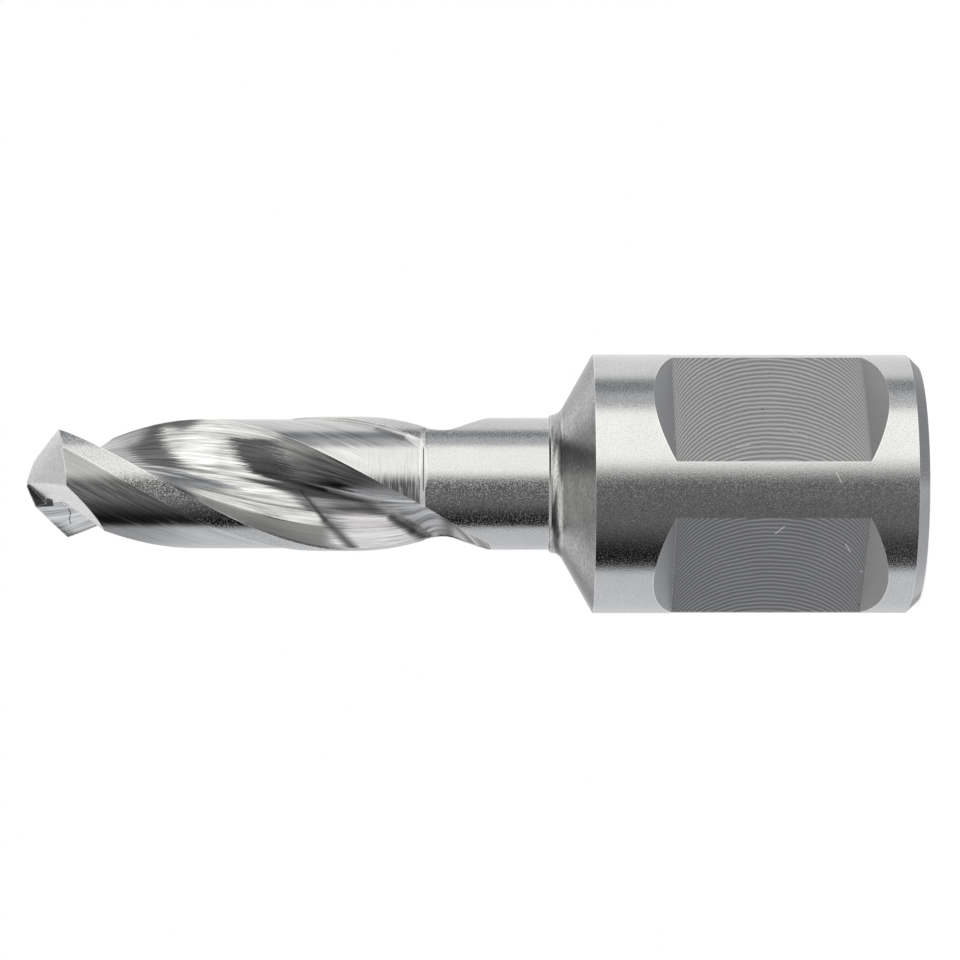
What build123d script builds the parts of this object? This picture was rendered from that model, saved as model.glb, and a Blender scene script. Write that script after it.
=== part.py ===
from build123d import *
from build123d.topology import SkipClean
import math
import os

# Weldon shank twist drill, ground from one bar of high-speed steel.
# The drill stands on the end face of its shank: that face is at height 0, the axis is Z and the
# point is up. The normal of the first shank flat is +X. All sizes are millimetres and degrees.

# Shank
shank_diameter = 19.05
shank_length = 23.83
end_chamfer = 0.84
flat_distance = 8.0
flat_start = 4.25
flat_floor_length = 13.85
flat_ramp_angle = 45.0
flat_spacing = 90.0

# Shoulder cone, its root radius, the root edge and the neck
cone_angle = 60.6
root_radius = 1.0
root_edge_diameter = 10.14
neck_ramp_length = 0.16
neck_diameter = 9.72

# Fluted body
overall_length = 65.45
drill_diameter = 9.9
cleared_diameter = 9.5
body_start = 36.4
body_ramp_length = 0.35
flute_lead = 54.5
lip_azimuth = -1.4
flute_opening = 102.5
margin_width = 1.56
clearance_end = 36.1
clearance_ramp_length = 0.25
clearance_overlap = 8.0

# Flute section: rake arc, root radius and heel wall
lip_lead = 1.08
rake_floor = 0.67
rake_floor_reach = 2.4
heel_wall_angle = 127.0
flute_root_radius = 1.6

# Run-out: the wheel leaves the flute on an arc and then a straight ramp, towards the heel
runout_start = 36.43
runout_length = 5.5
runout_radius = 3.27
runout_angle = 51.4
runout_direction = 114.0
runout_steps = 11

# How far the curved cuts run on past the rim of the drill
cut_overrun = 0.6

# Point: 118 degrees, a rounded primary flank, a flat heel flank and a split web
point_angle = 118.0
flank_relief = 9.0
flank_radius = 12.0
heel_flank_slope = 52.5
heel_flank_turn = 98.65
heel_flank_rise = 0.02
split_lip_angle = 34.4
split_web = 0.24
split_wheel_radius = 4.8
split_wheel_width = 1.4
split_wheel_corner = 0.35
split_depth = 0.2
split_reach = 1.6

# Sizes that follow from the ones above
shank_radius = shank_diameter / 2
drill_radius = drill_diameter / 2
cleared_radius = cleared_diameter / 2
neck_radius = neck_diameter / 2
root_edge_radius = root_edge_diameter / 2
turn_per_height = 360 / flute_lead
lip_slope = 1 / math.tan(math.radians(point_angle / 2))
corner_reach = math.sqrt(drill_radius**2 - lip_lead**2)
corner_turn = math.degrees(math.atan2(lip_lead, corner_reach))
margin_turn = math.degrees(margin_width / drill_radius)
flank_centre_lead = lip_lead + flank_radius * math.sin(math.radians(flank_relief))
flank_centre_drop = flank_radius * math.cos(math.radians(flank_relief))
axis_drop = flank_centre_drop - math.sqrt(flank_radius**2 - flank_centre_lead**2)
lip_height = overall_length + axis_drop
corner_height = lip_height - lip_slope * corner_reach
outside = 1.7 * drill_radius
past_rim = drill_radius + cut_overrun
bar_end = overall_length + 1.0
cutter_end = bar_end + 0.5
clear_from = corner_turn + flute_opening - 180 - clearance_overlap
clear_to = corner_turn - margin_turn
clear_inside = cleared_radius / 2


def level_step(angle):
    """A level unit step at an angle measured from the direction of the first lip."""
    azimuth = math.radians(lip_azimuth + angle)
    return Vector(math.cos(azimuth), math.sin(azimuth), 0)


def helix_turn(height):
    """How far the flutes have turned at a height, counted from the outer corner of the lip."""
    return (height - corner_height) * turn_per_height


def turned_plane(height):
    """The level plane at a height whose X turns with the flutes."""
    return Plane(origin=(0, 0, height), x_dir=level_step(helix_turn(height)), z_dir=(0, 0, 1))


def on_circle(radius, angle):
    """A point of a sketch at a radius and an angle."""
    return (radius * math.cos(math.radians(angle)), radius * math.sin(math.radians(angle)))


# The turned blank: end chamfer, shank, shoulder cone, root radius, neck and drill body.
# The shank keeps its three stretches, because only the middle one carries the floors of the flats.
floor_end = flat_start + flat_floor_length
cone_lean = math.radians(cone_angle)
cone_foot_radius = root_edge_radius + root_radius * (1 - math.cos(cone_lean))
cone_foot_height = shank_length + (shank_radius - cone_foot_radius) / math.tan(cone_lean)
root_edge_height = cone_foot_height + root_radius * math.sin(cone_lean)
with SkipClean(), BuildPart() as blank:
    with BuildSketch(Plane.XZ):
        with BuildLine():
            Polyline(
                (0, 0),
                (shank_radius - end_chamfer, 0),
                (shank_radius, end_chamfer),
                (shank_radius, flat_start),
                (0, flat_start),
                close=True,
            )
        make_face()
    revolve(axis=Axis.Z)
    with BuildSketch(Plane.XY.offset(flat_start)):
        Circle(shank_radius)
    extrude(amount=flat_floor_length)
    with BuildSketch(Plane.XZ):
        with BuildLine():
            Polyline(
                (0, floor_end),
                (shank_radius, floor_end),
                (shank_radius, shank_length),
                (cone_foot_radius, cone_foot_height),
            )
            CenterArc(
                (root_edge_radius + root_radius, root_edge_height),
                root_radius,
                180,
                cone_angle,
            )
            Polyline(
                (root_edge_radius, root_edge_height),
                (neck_radius, root_edge_height + neck_ramp_length),
                (neck_radius, body_start - body_ramp_length),
                (drill_radius, body_start),
                (drill_radius, bar_end),
                (0, bar_end),
                (0, floor_end),
            )
        make_face()
    revolve(axis=Axis.Z)

# One shank flat with a ramp at each end, cut straight across
ramp_reach = outside / math.tan(math.radians(flat_ramp_angle))
with BuildPart() as flat_cut:
    with BuildSketch(Plane.XZ):
        with BuildLine():
            Polyline(
                (flat_distance, flat_start),
                (flat_distance + outside, flat_start - ramp_reach),
                (flat_distance + outside, floor_end + ramp_reach),
                (flat_distance, floor_end),
                close=True,
            )
        make_face()
    extrude(amount=shank_radius, both=True)

# The path of the twisted cuts: along the axis, turned by the helix
with BuildLine() as axis_path:
    Line((0, 0, runout_start), (0, 0, cutter_end))
with BuildLine() as helix_guide:
    Helix(flute_lead, cutter_end - runout_start, drill_radius, center=(0, 0, runout_start))

# Flute outline: the rake arc makes a straight lip, the heel wall ends on the cleared land
rake_rise = lip_lead - rake_floor
rake_run = corner_reach - rake_floor_reach
rake_radius = (rake_run**2 + rake_rise**2) / (2 * rake_rise)
rake_centre = Vector(rake_floor_reach, rake_floor + rake_radius)
heel_point = Vector(*on_circle(cleared_radius, corner_turn + flute_opening))
wall_step = Vector(*on_circle(1, heel_wall_angle))
heel_offset = heel_point - rake_centre
heel_along = heel_offset.dot(wall_step)
wall_length = heel_along + math.sqrt(heel_along**2 + rake_radius**2 - heel_offset.dot(heel_offset))
root_point = heel_point - wall_step * wall_length
root_angle = math.degrees(math.atan2(root_point.Y - rake_centre.Y, root_point.X - rake_centre.X))
rake_end_angle = math.degrees(math.asin((past_rim - rake_floor_reach) / rake_radius)) - 90


def wheel_lift(height):
    """How far the wheel has left the flute at a height: an arc, then a straight ramp."""
    travel = runout_start - height
    ramp = math.radians(runout_angle)
    arc_travel = runout_radius * math.sin(ramp)
    if travel < arc_travel:
        return runout_radius - math.sqrt(runout_radius**2 - travel**2)
    return runout_radius * (1 - math.cos(ramp)) + (travel - arc_travel) * math.tan(ramp)


def flute_sketch(height):
    """The flute outline at a height, moved out by the lift of the wheel."""
    with BuildSketch(turned_plane(height)) as outline:
        with BuildLine():
            rake_arc = CenterArc(rake_centre, rake_radius, root_angle, rake_end_angle - root_angle)
            wall_top = root_point + wall_step * 2 * outside
            Polyline(rake_arc @ 0, wall_top, (outside, wall_top.Y), rake_arc @ 1)
        make_face()
        fillet(outline.vertices().sort_by_distance((0, 0, 0))[0], flute_root_radius)
    shift = Vector(*on_circle(wheel_lift(height), runout_direction + lip_azimuth + helix_turn(height)))
    return Pos(shift) * outline.sketch


# The full-depth flute and its run-out, where every section is further out than the last
with BuildPart() as flute_cut:
    sweep(
        flute_sketch(runout_start),
        path=axis_path.wire(),
        binormal=helix_guide.wire(),
    )
with BuildPart() as runout_cut:
    step = runout_length / runout_steps
    loft([flute_sketch(runout_start - i * step) for i in range(runout_steps + 1)])

# The cleared part of one land, from the margin back over the heel, with a short ramp at its end
with BuildPart() as clearance_cut:
    with BuildSketch(turned_plane(runout_start)):
        with BuildLine():
            Polyline(
                on_circle(clear_inside, clear_from),
                on_circle(outside, clear_from),
                on_circle(outside, (clear_from + clear_to) / 2),
                on_circle(outside, clear_to),
                on_circle(clear_inside, clear_to),
                close=True,
            )
        make_face()
    sweep(path=axis_path.wire(), binormal=helix_guide.wire())
    with BuildSketch(Plane.XZ):
        with BuildLine():
            Polyline(
                (cleared_radius, clearance_end + clearance_ramp_length),
                (cleared_radius, cutter_end + outside),
                (outside, cutter_end + outside),
                (outside, clearance_end),
                (drill_radius, clearance_end),
                close=True,
            )
        make_face()
    revolve(axis=Axis.Z, mode=Mode.INTERSECT)

# One primary flank: an arc across the lip, carried along the lip
with BuildPart() as flank_cut:
    flank_plane = Plane(origin=(0, 0, lip_height), x_dir=level_step(90), z_dir=level_step(0))
    flank_left = 90 + math.degrees(math.asin((past_rim + flank_centre_lead) / flank_radius))
    flank_right = 90 - math.degrees(math.asin((past_rim - flank_centre_lead) / flank_radius))
    with BuildSketch(flank_plane) as flank_section:
        with BuildLine():
            flank_arc = CenterArc(
                (flank_centre_lead, -flank_centre_drop),
                flank_radius,
                flank_right,
                flank_left - flank_right,
            )
            Polyline(flank_arc @ 1, (-outside, outside), (outside, outside), flank_arc @ 0)
        make_face()
    extrude(amount=2 * outside, dir=level_step(0) - Vector(0, 0, lip_slope), both=True)

# One heel flank: a steep flat behind the primary flank. It ends at the upright wall of the split,
# which stands on the inner lip of the other land.
heel_lean = math.radians(heel_flank_slope)
heel_fall = level_step(-heel_flank_turn)
heel_normal = heel_fall * math.sin(heel_lean) + Vector(0, 0, math.cos(heel_lean))
heel_top = Vector(0, 0, overall_length + heel_flank_rise)
wall_normal = level_step(split_lip_angle - 90)
wall_base = wall_normal * (split_web / 2)
wall_plane = Plane(origin=wall_base, z_dir=wall_normal)
with BuildPart() as heel_cut:
    with BuildSketch(Plane(origin=heel_top, x_dir=level_step(90 - heel_flank_turn), z_dir=heel_normal)):
        Rectangle(4 * outside, 4 * outside)
    extrude(amount=outside)
    split(bisect_by=wall_plane, keep=Keep.TOP)

# One split: the narrow hollow that the rim of a wheel leaves along the foot of that wall
wall_foot = heel_normal.cross(wall_normal).normalized()
across_foot = wall_foot.cross(heel_normal)
foot_top = wall_base + Vector(0, 0, heel_top.Z - heel_fall.dot(wall_base) * math.tan(heel_lean))
wheel_centre = foot_top + wall_foot * split_reach + heel_normal * (split_wheel_radius - split_depth)
with BuildPart() as split_cut:
    with BuildSketch(Plane(origin=wheel_centre, x_dir=wall_foot, z_dir=across_foot)):
        Circle(split_wheel_radius)
    extrude(amount=split_wheel_width)
    fillet(split_cut.edges().sort_by(Axis(wheel_centre, across_foot))[-1], split_wheel_corner)
    with BuildSketch(Plane(origin=wheel_centre, x_dir=wall_foot, z_dir=across_foot)):
        Circle(split_wheel_radius)
    extrude(amount=-split_wheel_radius)
    split(bisect_by=wall_plane, keep=Keep.TOP)

with SkipClean(), BuildPart() as twist_drill:
    add(blank.part)
    for turn in (0, -flat_spacing):
        add(flat_cut.part, rotation=(0, 0, turn), mode=Mode.SUBTRACT)
    for turn in (0, 180):
        for cut in (flank_cut, heel_cut, flute_cut, runout_cut, clearance_cut, split_cut):
            add(cut.part, rotation=(0, 0, turn), mode=Mode.SUBTRACT)

twist_drill.part.label = "twist_drill"
os.makedirs("parts", exist_ok=True)
export_step(twist_drill.part, "parts/twist_drill.step")
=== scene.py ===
"""Finishes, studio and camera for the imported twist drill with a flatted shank."""

import logging
import math
from dataclasses import dataclass, field, replace
from enum import Enum

import bpy
import numpy as np
from mathutils import Matrix, Vector

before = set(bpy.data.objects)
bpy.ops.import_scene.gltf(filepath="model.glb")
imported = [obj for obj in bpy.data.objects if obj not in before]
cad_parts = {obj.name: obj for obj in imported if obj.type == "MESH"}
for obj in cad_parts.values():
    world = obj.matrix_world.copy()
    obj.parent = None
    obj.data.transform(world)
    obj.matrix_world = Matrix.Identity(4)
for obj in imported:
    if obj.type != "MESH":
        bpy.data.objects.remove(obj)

log = logging.getLogger("twist_drill")

Socket = bpy.types.NodeSocket
Feed = Socket | float | tuple[float, ...]
Feeds = dict[int | str, Feed]
Group = tuple[bpy.types.NodeTree, "Graph", dict[str, Socket]]
MILLIMETRE = 0.001
WHITE = (1.0, 1.0, 1.0, 1.0)
HALF = 0.5
MARK_ROUGHNESS = 0.45
NOISE_DETAIL = 2.0
GRAIN_ROUGHNESS = 0.6
SPECK_STEP = (0.48, 0.62)
LEAST_SQUARE = 0.01
EDGE_SAMPLES = 6
EDGE_STEP = (0.988, 0.94)


class Maths(Enum):
    """The one-number operations of a Math node that the finishes use."""

    SUBTRACT = "SUBTRACT"
    MULTIPLY = "MULTIPLY"
    MULTIPLY_ADD = "MULTIPLY_ADD"
    DIVIDE = "DIVIDE"
    ROOT = "SQRT"
    SINE = "SINE"
    ABOVE = "GREATER_THAN"
    BELOW = "LESS_THAN"
    MOST = "MAXIMUM"
    SIZE = "ABSOLUTE"
    SIGN = "SIGN"
    ANGLE = "ARCTAN2"


class VectorMaths(Enum):
    """The operations of a Vector Math node that the finishes use."""

    ADD = "ADD"
    SUBTRACT = "SUBTRACT"
    MULTIPLY = "MULTIPLY"
    SCALE = "SCALE"
    UNIT = "NORMALIZE"
    DOT = "DOT_PRODUCT"
    LENGTH = "LENGTH"


class Mixed(Enum):
    """What a Mix node mixes: its type, and the numbers of its first input and of its result."""

    NUMBERS = ("FLOAT", 2, 0)
    VECTORS = ("VECTOR", 4, 1)
    COLOURS = ("RGBA", 6, 2)


class Graph:
    """Adds nodes to one node tree and joins numbers or sockets to their inputs."""

    def __init__(self, tree: bpy.types.NodeTree) -> None:
        """Keeps the tree that every node goes into."""
        self.tree = tree

    def feed(self, target: Socket, value: Feed) -> None:
        """Joins a socket to an input, or sets the input's own number.

        Args:
            target: the input.
            value: another node's output, a number or a tuple of numbers.
        """
        if isinstance(value, Socket):
            self.tree.links.new(value, target)
        else:
            target.default_value = value

    def node(self, kind: str, feeds: Feeds | None = None, **settings: object) -> bpy.types.Node:
        """Adds a node.

        Args:
            kind: its type name after "ShaderNode".
            feeds: what goes into its inputs, by number or name.
            settings: its own properties.

        Returns:
            The node.
        """
        made = self.tree.nodes.new("ShaderNode" + kind)
        for name, value in settings.items():
            setattr(made, name, value)
        for key, value in (feeds or {}).items():
            self.feed(made.inputs[key], value)
        return made

    def maths(self, operation: Maths, *values: Feed, clamp: bool = False) -> Socket:
        """Adds a Math node.

        Args:
            operation: what it does.
            values: its inputs in order.
            clamp: True to hold the result between 0 and 1.

        Returns:
            Its result.
        """
        made = self.node("Math", dict(enumerate(values)), operation=operation.value, use_clamp=clamp)
        return made.outputs[0]

    def product(self, first: Feed, second: Feed) -> Socket:
        """The product of two numbers."""
        return self.maths(Maths.MULTIPLY, first, second)

    def above(self, value: Feed, limit: Feed) -> Socket:
        """1 where the value is above the limit, and 0 elsewhere."""
        return self.maths(Maths.ABOVE, value, limit)

    def below(self, value: Feed, limit: Feed) -> Socket:
        """1 where the value is below the limit, and 0 elsewhere."""
        return self.maths(Maths.BELOW, value, limit)

    def step(self, value: Feed, low: Feed, high: Feed) -> Socket:
        """A soft step.

        Args:
            value: the number that is read.
            low: where the step starts.
            high: where it ends.

        Returns:
            0 at low and 1 at high, along an S curve between them.
        """
        feeds = {"Value": value, "From Min": low, "From Max": high}
        return self.node("MapRange", feeds, interpolation_type="SMOOTHSTEP").outputs["Result"]

    def band(self, value: Feed, low: float, high: float, soft: float) -> Socket:
        """1 between low and high and 0 outside, with soft ends of the given width."""
        rise = self.step(value, low - soft / 2, low + soft / 2)
        fall = self.step(value, high + soft / 2, high - soft / 2)
        return self.product(rise, fall)

    def _mix(self, kind: Mixed, share: Feed, first: Feed, second: Feed) -> Socket:
        """Adds a Mix node.

        Args:
            kind: what it mixes.
            share: how much of the second there is, from 0 to 1.
            first: what comes out where the share is 0.
            second: what comes out where it is 1.

        Returns:
            Its result.
        """
        data_type, start, result = kind.value
        made = self.node("Mix", {0: share, start: first, start + 1: second}, data_type=data_type)
        return made.outputs[result]

    def blend(self, share: Feed, first: Feed, second: Feed) -> Socket:
        """The first number where the share is 0 and the second where it is 1."""
        return self._mix(Mixed.NUMBERS, share, first, second)

    def either(self, share: Feed, first: Feed, second: Feed) -> Socket:
        """The first vector where the share is 0 and the second where it is 1."""
        return self._mix(Mixed.VECTORS, share, first, second)

    def tint(self, share: Feed, first: Feed, second: Feed) -> Socket:
        """The first colour where the share is 0 and the second where it is 1."""
        return self._mix(Mixed.COLOURS, share, first, second)

    def vectors(self, operation: VectorMaths, feeds: Feeds) -> bpy.types.bpy_prop_collection:
        """The outputs of a new Vector Math node."""
        return self.node("VectorMath", feeds, operation=operation.value).outputs

    def dot(self, first: Feed, second: Feed) -> Socket:
        """The dot product of two vectors."""
        return self.vectors(VectorMaths.DOT, {0: first, 1: second})["Value"]

    def length(self, vector: Feed) -> Socket:
        """The vector's length."""
        return self.vectors(VectorMaths.LENGTH, {0: vector})["Value"]

    def unit(self, vector: Feed) -> Socket:
        """The vector with its length made 1."""
        return self.vectors(VectorMaths.UNIT, {0: vector})[0]

    def plus(self, first: Feed, second: Feed) -> Socket:
        """The sum of two vectors."""
        return self.vectors(VectorMaths.ADD, {0: first, 1: second})[0]

    def less(self, first: Feed, second: Feed) -> Socket:
        """The first vector less the second."""
        return self.vectors(VectorMaths.SUBTRACT, {0: first, 1: second})[0]

    def times(self, vector: Feed, scale: Feed) -> Socket:
        """The vector made longer or shorter by one number."""
        return self.vectors(VectorMaths.SCALE, {0: vector, "Scale": scale})[0]

    def stretch(self, vector: Feed, scale: Feed) -> Socket:
        """The vector with each part multiplied by its own scale."""
        return self.vectors(VectorMaths.MULTIPLY, {0: vector, 1: scale})[0]

    def flat(self, vector: Feed) -> Socket:
        """The vector without its upward part."""
        return self.stretch(vector, (1.0, 1.0, 0.0))

    def parts(self, vector: Feed) -> list[Socket]:
        """The vector's x, y and z."""
        return list(self.node("SeparateXYZ", {0: vector}).outputs)

    def together(self, x: Feed, y: Feed, z: Feed) -> Socket:
        """A vector from its x, y and z."""
        return self.node("CombineXYZ", {0: x, 1: y, 2: z}).outputs[0]

    def spin(self, vector: Feed, angle: Feed) -> Socket:
        """The vector turned about the drill's axis by an angle in radians."""
        feeds = {"Vector": vector, "Angle": angle}
        return self.node("VectorRotate", feeds, rotation_type="Z_AXIS").outputs[0]

    def noise(self, vector: Feed, scale: Feed, roughness: float = HALF) -> Socket:
        """Even noise from 0 to 1.

        Args:
            vector: where it is read.
            scale: how many of its grains go into one unit.
            roughness: how strong its finer layers are.

        Returns:
            The noise.
        """
        feeds = {"Vector": vector, "Scale": scale, "Detail": NOISE_DETAIL, "Roughness": roughness}
        return self.node("TexNoise", feeds).outputs[0]


def new_group(name: str, takes: dict[str, str], gives: dict[str, str]) -> Group:
    """Starts a shader node group.

    Args:
        name: its name.
        takes: its inputs, as name and kind ("Float", "Vector" or "Color").
        gives: its outputs, the same way.

    Returns:
        The group, a graph on it, and its inputs' sockets by name.
    """
    tree = bpy.data.node_groups.new(name, "ShaderNodeTree")
    for side, sockets in (("INPUT", takes), ("OUTPUT", gives)):
        for label, kind in sockets.items():
            tree.interface.new_socket(label, in_out=side, socket_type="NodeSocket" + kind)
    graph = Graph(tree)
    entry = tree.nodes.new("NodeGroupInput")
    return tree, graph, {label: entry.outputs[label] for label in takes}


def close_group(graph: Graph, results: dict[str, Socket]) -> None:
    """Joins the results to a group's outputs by name."""
    leave = graph.tree.nodes.new("NodeGroupOutput")
    for label, result in results.items():
        graph.feed(leave.inputs[label], result)


@dataclass(frozen=True)
class Effects:
    """The shader node groups that several finishes share, built once.

    Args:
        place: where a point is on the drill.
        grain: ground metal.
        arcs: the marks of an end mill.
        scratch: one straight scratch.
        edges: bright edges, part wear and part painted highlight.
    """

    place: bpy.types.NodeTree
    grain: bpy.types.NodeTree
    arcs: bpy.types.NodeTree
    scratch: bpy.types.NodeTree
    edges: bpy.types.NodeTree

    @classmethod
    def build(cls) -> "Effects":
        """Builds every shared group."""
        return cls(cls._place(), cls._grain(), cls._arcs(), cls._scratch(), cls._edges())

    @staticmethod
    def _place() -> bpy.types.NodeTree:
        """Where a point of the drill is: the point, its radius, the flutes' turn and its section point.

        In words: the radius is the root of x squared plus y squared. The turn is the lip's angle plus
        360 degrees for each lead above the lip's outer corner. The section point is the point turned
        back by it.

        Returns:
            The group.
        """
        tree, graph, given = new_group(
            "drill_place",
            {"Vector": "Vector", "Lead": "Float", "Corner Height": "Float", "Lip Angle": "Float"},
            {"Point": "Vector", "Radius": "Float", "Turn": "Float", "Section": "Vector"},
        )
        point = graph.stretch(given["Vector"], (1 / MILLIMETRE,) * 3)
        height = graph.parts(point)[2]
        radius = graph.length(graph.flat(point))
        above = graph.maths(Maths.SUBTRACT, height, given["Corner Height"])
        leads = graph.maths(Maths.DIVIDE, above, given["Lead"])
        turn = graph.maths(Maths.MULTIPLY_ADD, leads, 2 * math.pi, given["Lip Angle"])
        section = graph.spin(point, graph.product(turn, -1.0))
        close_group(graph, {"Point": point, "Radius": radius, "Turn": turn, "Section": section})
        return tree

    @staticmethod
    def _grain() -> bpy.types.NodeTree:
        """Ground metal: fine noise drawn out along the grinding, its peaks, and larger patches.

        Returns:
            The group.
        """
        tree, graph, given = new_group(
            "ground_grain",
            {"Vector": "Vector", "Stretch": "Vector", "Patch Size": "Float"},
            {"Grain": "Float", "Specks": "Float", "Patches": "Float"},
        )
        drawn = graph.stretch(given["Vector"], given["Stretch"])
        grain = graph.noise(drawn, 1.0, roughness=GRAIN_ROUGHNESS)
        specks = graph.step(grain, *SPECK_STEP)
        patches = graph.noise(drawn, graph.maths(Maths.DIVIDE, 1.0, given["Patch Size"]))
        close_group(graph, {"Grain": grain, "Specks": specks, "Patches": patches})
        return tree

    @staticmethod
    def _arcs() -> bpy.types.NodeTree:
        """Marks of an end mill: equal arcs, one behind the other along its travel.

        In words: a mark's travel is the point's travel less the root of the mill's radius squared less
        the distance from the middle squared, and its height is the sine of that over the pitch.

        Returns:
            The group.
        """
        tree, graph, given = new_group(
            "milled_arcs",
            {"Travel": "Float", "Beside": "Float", "Radius": "Float", "Pitch": "Float"},
            {"Height": "Float"},
        )
        beside_squared = graph.product(given["Beside"], given["Beside"])
        radius_squared = graph.product(given["Radius"], given["Radius"])
        left = graph.maths(Maths.SUBTRACT, radius_squared, beside_squared)
        left = graph.maths(Maths.MOST, left, LEAST_SQUARE)
        along = graph.maths(Maths.SUBTRACT, given["Travel"], graph.maths(Maths.ROOT, left))
        phase = graph.maths(Maths.DIVIDE, along, given["Pitch"])
        wave = graph.maths(Maths.SINE, graph.product(phase, 2 * math.pi))
        close_group(graph, {"Height": graph.maths(Maths.MULTIPLY_ADD, wave, HALF, HALF)})
        return tree

    @staticmethod
    def _scratch() -> bpy.types.NodeTree:
        """One straight scratch between two points.

        In words: the mask falls from 1 to 0 with the distance from the point to the nearest point of
        the line between the ends, from the sharp share of half the width out to half the width.

        Returns:
            The group.
        """
        tree, graph, given = new_group(
            "scratch",
            {"Point": "Vector", "Start": "Vector", "End": "Vector", "Width": "Float", "Sharp": "Float"},
            {"Mask": "Float"},
        )
        line = graph.less(given["End"], given["Start"])
        away = graph.less(given["Point"], given["Start"])
        share = graph.maths(Maths.DIVIDE, graph.dot(away, line), graph.dot(line, line), clamp=True)
        gap = graph.length(graph.less(away, graph.times(line, share)))
        half = graph.product(given["Width"], HALF)
        full = graph.product(half, given["Sharp"])
        close_group(graph, {"Mask": graph.step(gap, half, full)})
        return tree

    @staticmethod
    def _edges() -> bpy.types.NodeTree:
        """Bright edges, part wear and part painted highlight: where the surface turned by a small
        rounding differs from the surface.

        Returns:
            The group.
        """
        tree, graph, given = new_group("worn_and_highlit_edges", {"Width": "Float"}, {"Mask": "Float"})
        rounded = graph.node("Bevel", {"Radius": given["Width"]}, samples=EDGE_SAMPLES).outputs[0]
        same = graph.dot(rounded, graph.node("NewGeometry").outputs["Normal"])
        close_group(graph, {"Mask": graph.step(same, *EDGE_STEP)})
        return tree


@dataclass
class Surface:
    """What a finish gives at each point: a level of grey, a roughness and a relief in millimetres."""

    level: Feed
    roughness: Feed
    relief: Feed

    def shade(self, graph: Graph, share: Feed, factor: float) -> None:
        """Multiplies the level of grey where the share is 1.

        Args:
            graph: the material's graph.
            share: where it is shaded.
            factor: below 1 to make it darker there, above 1 to make it lighter.
        """
        change = graph.maths(Maths.MULTIPLY_ADD, share, factor - 1.0, 1.0)
        self.level = graph.product(self.level, change)


@dataclass(frozen=True)
class Place:
    """The sockets that say where a point of the drill is and which way its mesh faces.

    Args:
        point: the point in millimetres.
        x: its first part.
        y: its second part.
        z: its height.
        radius: its distance from the axis.
        turn: how far the flutes have turned at its height, in radians.
        section: the point turned back by that.
        facing: the mesh's own normal.
        radial: the level direction from the axis to the point.
    """

    point: Socket
    x: Socket
    y: Socket
    z: Socket
    radius: Socket
    turn: Socket
    section: Socket
    facing: Socket
    radial: Socket

    @classmethod
    def read(cls, graph: Graph, effects: Effects, body: "Body") -> "Place":
        """Reads the object coordinates through the shared group.

        Args:
            graph: the material's graph.
            effects: the shared groups.
            body: the fluted body, for the lead of its flutes and where its first lip is.

        Returns:
            The sockets.
        """
        made = graph.node("Group", node_tree=effects.place)
        graph.feed(made.inputs["Vector"], graph.node("TexCoord").outputs["Object"])
        graph.feed(made.inputs["Lead"], body.lead)
        graph.feed(made.inputs["Corner Height"], body.corner_height)
        graph.feed(made.inputs["Lip Angle"], math.radians(body.lip_angle))
        point, radius, turn, section = made.outputs
        x, y, z = graph.parts(point)
        facing = graph.node("NewGeometry").outputs["Normal"]
        return cls(point, x, y, z, radius, turn, section, facing, graph.unit(graph.flat(point)))


@dataclass(frozen=True)
class GroundFinish:
    """A ground or turned finish of one part of the drill.

    Args:
        level: how much light the steel gives back.
        roughness: of the steel between its marks.
        stretch: grains in a millimetre along each direction.
        grain_share: how much the grain lightens and darkens the steel.
        depth: of the marks, in millimetres.
        speck: how much rougher the peaks of the grain are.
        patch_size: how many grains lie across one of the larger patches.
        patch_share: how much the patches lighten and darken the steel.
    """

    level: float
    roughness: float
    stretch: tuple[float, float, float]
    grain_share: float
    depth: float
    speck: float = 0.0
    patch_size: float = 40.0
    patch_share: float = 0.15

    def lay(self, graph: Graph, effects: Effects, where: Socket) -> Surface:
        """Lays the finish on a surface.

        Args:
            graph: the material's graph.
            effects: the shared groups.
            where: the point, or the point turned back by the helix.

        Returns:
            The surface that it makes.
        """
        made = graph.node("Group", node_tree=effects.grain)
        graph.feed(made.inputs["Vector"], where)
        graph.feed(made.inputs["Stretch"], self.stretch)
        graph.feed(made.inputs["Patch Size"], self.patch_size)
        grain = graph.maths(Maths.SUBTRACT, made.outputs["Grain"], HALF)
        patches = graph.maths(Maths.SUBTRACT, made.outputs["Patches"], HALF)
        shade = graph.maths(Maths.MULTIPLY_ADD, grain, self.grain_share, 1.0)
        shade = graph.maths(Maths.MULTIPLY_ADD, patches, self.patch_share, shade)
        level = graph.product(shade, self.level)
        roughness = graph.maths(Maths.MULTIPLY_ADD, made.outputs["Specks"], self.speck, self.roughness)
        relief = graph.product(made.outputs["Grain"], self.depth)
        return Surface(level, roughness, relief)

    def worked(self, **changes: float) -> "GroundFinish":
        """The same finish with some of its values changed."""
        return replace(self, **changes)


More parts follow.
